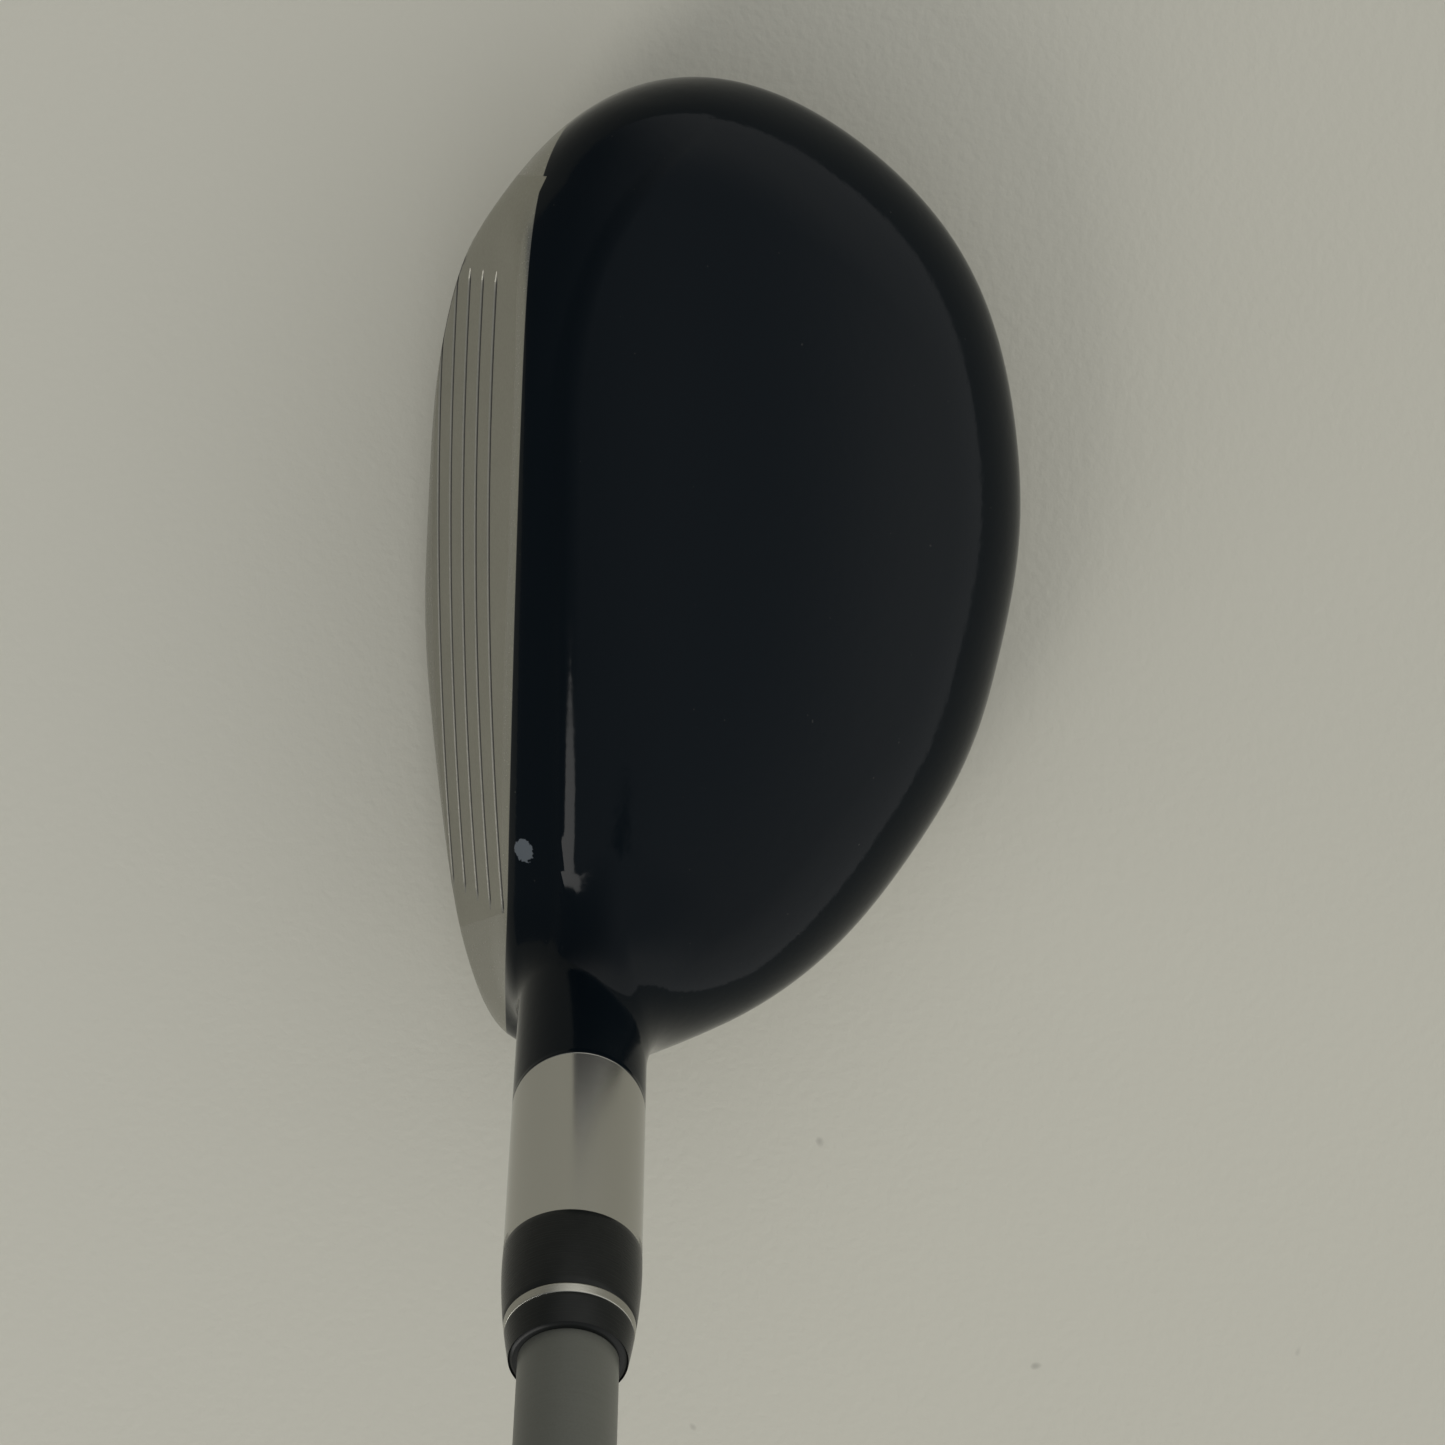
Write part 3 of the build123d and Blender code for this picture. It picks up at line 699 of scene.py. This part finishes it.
# ==== Ferrule ====================================================================
# Three turned plastic rings pushed down the shaft on to the hosel: a black base,
# a thin bright ring and a black cap, dressed down flush with the steel.
ferrule_bore = 4.72
bright_start, cap_start, ferrule_end = 76.7, 77.65, 80.9
ferrule_narrowing, ferrule_swell = 1.05, 0.6
turn_to_shaft = Vector((0, 0, 1)).rotation_difference(shaft_axis).to_euler()


def turned(name, profile, segments=128):
    """A piece turned round the shaft from (place along it, radius) pairs, in millimetres."""
    select_none()
    along, radius = profile[0]
    centre = shaft_foot + shaft_axis * along * MM
    bpy.ops.mesh.primitive_circle_add(vertices=segments, radius=radius * MM, location=centre,
                                      rotation=turn_to_shaft)
    piece = bpy.context.active_object
    piece.name = name
    bpy.ops.object.transform_apply(location=True, rotation=True, scale=True)
    bpy.ops.object.mode_set(mode="EDIT")
    bpy.ops.mesh.select_all(action="SELECT")
    for next_along, next_radius in profile[1:]:
        centre = shaft_foot + shaft_axis * next_along * MM
        bpy.ops.mesh.extrude_edges_move(TRANSFORM_OT_translate={
            "value": shaft_axis * (next_along - along) * MM})
        if next_radius != radius:
            bpy.ops.transform.resize(value=(next_radius / radius,) * 3, center_override=centre)
        along, radius = next_along, next_radius
    bpy.ops.mesh.select_all(action="SELECT")
    bpy.ops.mesh.region_to_loop()
    bpy.ops.mesh.bridge_edge_loops()
    bpy.ops.mesh.select_all(action="SELECT")
    bpy.ops.mesh.normals_make_consistent(inside=False)
    bpy.ops.object.mode_set(mode="OBJECT")
    bpy.ops.object.shade_smooth_by_angle(angle=radians(35))
    return piece


def ferrule_radius(along):
    """The swelling side of the ferrule, from the hosel's width down to its lip."""
    share = (along - hosel_top) / (ferrule_end - hosel_top)
    return (hosel_radius - ferrule_narrowing * share**1.7
            + share * (1 - share) * ferrule_swell)


def ring_profile(start, end, lip):
    side = [(a, ferrule_radius(a)) for a in np.linspace(start + lip, end - lip, 14)]
    return ([(start, ferrule_bore), (start, ferrule_radius(start) - lip)]
            + [(start + lip * 0.3, ferrule_radius(start) - lip * 0.3)] + side
            + [(end - lip * 0.3, ferrule_radius(end) - lip * 0.3),
               (end, ferrule_radius(end) - lip), (end, ferrule_bore)])


ferrule_base = turned("ferrule_base_ring", ring_profile(hosel_top, bright_start, 0.12))
ferrule_ring = turned("ferrule_bright_ring", ring_profile(bright_start, cap_start, 0.06))
cap_profile = ring_profile(cap_start, ferrule_end, 0.12)
lip_radius = ferrule_radius(ferrule_end)
cap_profile[-3:] = [(80.6, ferrule_radius(80.6) - 0.10), (80.82, lip_radius - 0.30),
                    (ferrule_end, lip_radius - 0.55), (ferrule_end, ferrule_bore)]
ferrule_cap = turned("ferrule_top_cap", cap_profile)
for piece, node, slot in ((ferrule_base, "ferrule_base", "ferrule_black"),
                          (ferrule_ring, "ferrule_ring", "ferrule_ring"),
                          (ferrule_cap, "ferrule_cap", "ferrule_black")):
    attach(piece, "root")
    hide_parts(node)

ferrule_black = material("ferrule_plastic", Specular_IOR_Level=0.14)
ferrule_place = ferrule_black.place()
ferrule_along = ferrule_black.dot(ferrule_place, hosel_axis)
lathe_line = ferrule_black.grain(ferrule_black.join(ferrule_along * 7.0, 0.0, 0.0), 1.0, 3)
ferrule_black.feed(
    Base_Color=ferrule_black.mix(ferrule_black.grain(ferrule_place, 0.8, 4) * 0.7,
                                 (0.007, 0.008, 0.0075), (0.014, 0.015, 0.014)),
    Roughness=0.20 + lathe_line * 0.14)
ferrule_black.bump(lathe_line, 0.00002, 0.5)
ferrule_black.wear(ferrule_base, ferrule_cap)

ring_metal = material("ferrule_bright_metal", Metallic=1.0)
ring_place = ring_metal.place()
ring_line = ring_metal.grain(
    ring_metal.join(ring_metal.dot(ring_place, hosel_axis) * 12.0, 0.0, 0.0), 1.0, 2)
ring_metal.feed(Base_Color=ring_metal.mix(ring_line, (0.26, 0.255, 0.225), (0.40, 0.395, 0.36)),
                Roughness=0.18 + ring_line * 0.12)
ring_metal.bump(ring_line, 0.00001, 0.4)
ring_metal.wear(ferrule_ring)

# ==== Shaft ======================================================================
# A hollow graphite tube, wound in tapering flags of carbon and resin, sanded in
# fine bands and sprayed satin grey.  Its parallel tip is glued into the hosel.
tip_radius, butt_radius = 4.7, 7.6
tip_bore, taper_bore, butt_bore = 2.2, 2.9, 6.4
tip_end, taper_start, taper_end, butt_end = 37.2, 147.2, 723.0, 995.0
shaft_profile = [(tip_end, tip_bore), (tip_end, tip_radius - 0.3), (37.5, tip_radius)]
shaft_profile += [(a, tip_radius) for a in np.linspace(50, taper_start, 12)]
shaft_profile += [
    (a, float(np.interp(a, (taper_start, taper_end), (tip_radius, butt_radius))))
    for a in np.linspace(170, taper_end, 40)]
shaft_profile += [(994.8, butt_radius), (butt_end, butt_radius - 0.2), (butt_end, butt_bore),
                  (taper_end, butt_bore), (taper_start, taper_bore)]
shaft = turned("graphite_shaft", shaft_profile)
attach(shaft, "root")
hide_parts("shaft")

graphite = material("satin_graphite", Specular_IOR_Level=0.35)
graphite_place = graphite.place()
shaft_along = graphite.dot(graphite_place, hosel_axis)
wrap_u = graphite.dot(graphite_place, neck_side)
wrap_y = graphite.split(graphite_place)[1]
wrap = graphite.node("Math", {"operation": "ARCTAN2"}, {0: wrap_y, 1: wrap_u - float(
    hosel_foot @ neck_side)})
winding = graphite.node("Math", {"operation": "SINE"}, {
    0: shaft_along * 4.2 + wrap * 3.0})
flake = graphite.grain(graphite_place, 5.0, 2)
sanding = graphite.grain(graphite.join(shaft_along * 2.4, wrap * 0.4, 0.0), 1.0, 4)
graphite.feed(
    Base_Color=graphite.mix(flake * 0.5 + sanding * 0.4, (0.070, 0.072, 0.060),
                            (0.108, 0.110, 0.096)),
    Roughness=0.34 + sanding * 0.12)
graphite.bump(sanding + winding * 0.12, 0.000012, 0.6)
graphite.wear(shaft)

# ==== Grip =======================================================================
# A moulded rubber sleeve slid over sticky tape, with rows of slanting grip bars and
# plain rings at its mouth, and a rubber cap with a vent hole at the butt.
grip_start, grip_end, grip_bore = 735.0, 995.0, 7.75
mouth_radius, end_radius = 9.0, 13.2
bar_spacing, bar_depth, ring_depth = 5.6, 0.38, 0.40


def sleeve_radius(along):
    return np.interp(along, (grip_start, grip_end), (mouth_radius, end_radius))


sleeve_profile = [(grip_start, grip_bore), (grip_start, mouth_radius - 1.0),
                  (grip_start + 0.2, mouth_radius - 0.45), (grip_start + 0.7, mouth_radius - 0.08)]
sleeve_profile += [(a, float(sleeve_radius(a))) for a in np.linspace(737, 992.4, 228)]
sleeve_profile += [(993.4, 13.12), (994.4, 12.85), (994.9, 12.3), (grip_end, 11.8),
                   (grip_end, grip_bore)]
grip_sleeve = turned("grip_rubber_sleeve", sleeve_profile, segments=144)
points = np.empty(len(grip_sleeve.data.vertices) * 3)
grip_sleeve.data.vertices.foreach_get("co", points)
points = points.reshape(-1, 3) / MM
from_axis = points - hosel_foot
along = from_axis @ hosel_axis
spoke = from_axis - np.multiply.outer(along, hosel_axis)
radius = np.linalg.norm(spoke, axis=1)
spin = np.arctan2(spoke[:, 1], spoke @ neck_side)
on_side = ease(np.abs(radius - sleeve_radius(along)), 0.30, 0.05)
band = ease(along, 752, 756) * ease(along, 978, 974)
bar = np.cos(2 * pi * along / bar_spacing + 2.2 * np.cos(6 * spin))
channel = ease(np.abs(np.cos(3 * spin)), 0.10, 0.22)
moulding = -bar_depth * band * ease(bar, 0.35, 0.75) * channel
for groove_along in (741.5, 745.0, 748.5, 982.0, 985.5, 989.0):
    moulding -= ring_depth * ease(np.abs(along - groove_along), 1.15, 0.35)
points += spoke / np.maximum(radius, 1)[:, None] * (moulding * on_side)[:, None]
grip_sleeve.data.vertices.foreach_set("co", (points * MM).ravel())
grip_sleeve.data.update()

cap_out = 13.5
grip_cap = turned("grip_end_cap", [
    (995.0, 1.6), (995.0, cap_out - 0.6), (995.15, cap_out - 0.15), (995.6, cap_out),
    (997.4, cap_out), (998.3, cap_out - 0.2), (999.1, cap_out - 0.7), (999.7, cap_out - 1.4),
    (1000.0, cap_out - 2.4), (1000.0, 10.2), (999.8, 9.9), (999.8, 9.3), (1000.0, 9.0),
    (1000.0, 3.4), (999.7, 3.0), (999.6, 2.0), (999.3, 1.7), (999.0, 1.6)])
for piece, node in ((grip_sleeve, "grip_sleeve"), (grip_cap, "grip_cap")):
    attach(piece, "root")
    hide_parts(node)

rubber = material("moulded_rubber", Specular_IOR_Level=0.35, Sheen_Weight=0.15)
rubber_place = rubber.place()
rubber_mottle = rubber.grain(rubber_place, 0.25, 5, 0.6)
rubber_tooth = rubber.grain(rubber_place, 5.5, 3)
rubber_worn = rubber.rise(rubber.grain(rubber_place, 0.05, 3), 0.45, 0.7)
rubber.feed(
    Base_Color=rubber.mix(rubber_mottle * 0.6 + rubber_worn * 0.3, (0.012, 0.012, 0.0125),
                          (0.032, 0.032, 0.031)),
    Roughness=0.62 + rubber_tooth * 0.15 - rubber_worn * 0.14)
rubber.bump(rubber_tooth, 0.00012, 0.6)
rubber.wear(grip_sleeve, grip_cap)

# ==== Weight screw ===============================================================
# A flat-headed steel screw with a hexagonal socket, on a thin rubber washer, let
# into a port in the sole.  It holds the swing weight.
port_back, port_radius, cutter_depth = 29, 5.6, 14
port_normal = Vector((0, -port_back / sole_rear_arc, 1)).normalized()
port_centre = Vector(
    (0, port_back, port_back**2 / (2 * sole_rear_arc) - sole_flat_depth)) * MM
turn_to_port = Vector((0, 0, 1)).rotation_difference(port_normal).to_euler()
select_none()
bpy.ops.mesh.primitive_cylinder_add(vertices=96, radius=port_radius * MM, depth=cutter_depth * MM,
                                    location=port_centre, rotation=turn_to_port)
port_cutter = bpy.context.active_object
bpy.ops.object.transform_apply(location=True, rotation=True, scale=True)
carve(head_skin, port_cutter)

screw_metal = material("zinc_screw", Metallic=1.0)
screw_place = screw_metal.place()
screw_away = screw_metal.away(screw_place, tuple(port_centre / MM))
screw_turning = screw_metal.grain(screw_metal.join(screw_away * 8.0, 0.0, 0.0), 1.0, 3)
screw_stain = screw_metal.grain(screw_place, 0.5, 4)
screw_metal.feed(
    Base_Color=screw_metal.mix(screw_stain, (0.24, 0.24, 0.235), (0.42, 0.42, 0.41)),
    Roughness=0.24 + screw_turning * 0.16)
screw_metal.bump(screw_turning, 0.00002, 0.5)
screw_metal.wear(frame["nodes"]["weight_screw"])

# ==== Badge and the pieces inside ================================================
# An oval plate let into the sole, and the pieces no one sees: a dense slug and a
# pad of hot melt, the tip weight, the epoxy, the washer and the grip tape.
inside_looks = {
    "tungsten_slug": ((0.16, 0.155, 0.15), (0.26, 0.255, 0.25), 1.0, 0.45, 1.2),
    "hot_melt_pad": ((0.42, 0.30, 0.12), (0.58, 0.45, 0.22), 0.0, 0.35, 0.4),
    "tip_weight": ((0.42, 0.28, 0.10), (0.62, 0.45, 0.18), 1.0, 0.30, 1.5),
    "epoxy_sleeve": ((0.30, 0.27, 0.18), (0.45, 0.41, 0.30), 0.0, 0.25, 0.8),
    "weight_washer": ((0.010, 0.010, 0.011), (0.024, 0.024, 0.025), 0.0, 0.65, 2.0),
    "grip_tape": ((0.52, 0.46, 0.34), (0.66, 0.60, 0.47), 0.0, 0.80, 1.0),
}
for node_name, (dark, light, metal, rough, fineness) in inside_looks.items():
    look = material(node_name + "_look", Metallic=metal)
    look_place = look.place()
    look_patch = look.grain(look_place, fineness, 4)
    look_tooth = look.grain(look_place, fineness * 6, 2)
    look.feed(Base_Color=look.mix(look_patch, dark, light), Roughness=rough + look_tooth * 0.15)
    look.bump(look_tooth, 0.00005, 0.5)
    look.wear(frame["nodes"][node_name])

select_none()
badge_middle, badge_length, badge_width, badge_play = (-27.0, 2.0), 20.0, 11.0, 0.1
bpy.ops.mesh.primitive_cylinder_add(vertices=128, radius=0.5 * MM, depth=cutter_depth * MM,
                                    location=(badge_middle[0] * MM, badge_middle[1] * MM, 2 * MM),
                                    scale=(badge_length + badge_play, badge_width + badge_play, 1))
badge_cutter = bpy.context.active_object
bpy.ops.object.transform_apply(location=True, rotation=True, scale=True)
carve(head_skin, badge_cutter)

badge_metal = material("etched_badge", Metallic=1.0)
badge_place = badge_metal.place()
badge_x, badge_y, _ = badge_metal.split(badge_place)
badge_u = (badge_x - badge_middle[0]) / (badge_length / 2)
badge_v = (badge_y - badge_middle[1]) / (badge_width / 2)
badge_ring = (badge_u * badge_u + badge_v * badge_v) ** 0.5
badge_rim = badge_metal.rise(badge_ring, 0.86, 0.88)
badge_rays = badge_metal.rise(badge_metal.node("Math", {"operation": "SINE"}, {
    0: (badge_u + badge_v * 0.6) * 22.0}), -0.1, 0.1)
badge_brush = badge_metal.grain(badge_metal.node("Mapping", None, {
    "Vector": badge_place, "Scale": (0.2, 7.0, 7.0)}), 1.2, 3)
etched = badge_rays * (1 - badge_rim)
badge_metal.feed(
    Base_Color=badge_metal.mix(etched, badge_metal.mix(
        badge_brush, (0.34, 0.34, 0.33), (0.46, 0.46, 0.45)), (0.05, 0.052, 0.055)),
    Roughness=0.22 + etched * 0.25 + badge_brush * 0.06)
badge_metal.bump(etched * -1.0 + badge_brush * 0.1, 0.00008, 0.8)
badge_metal.wear(frame["nodes"]["sole_badge"])
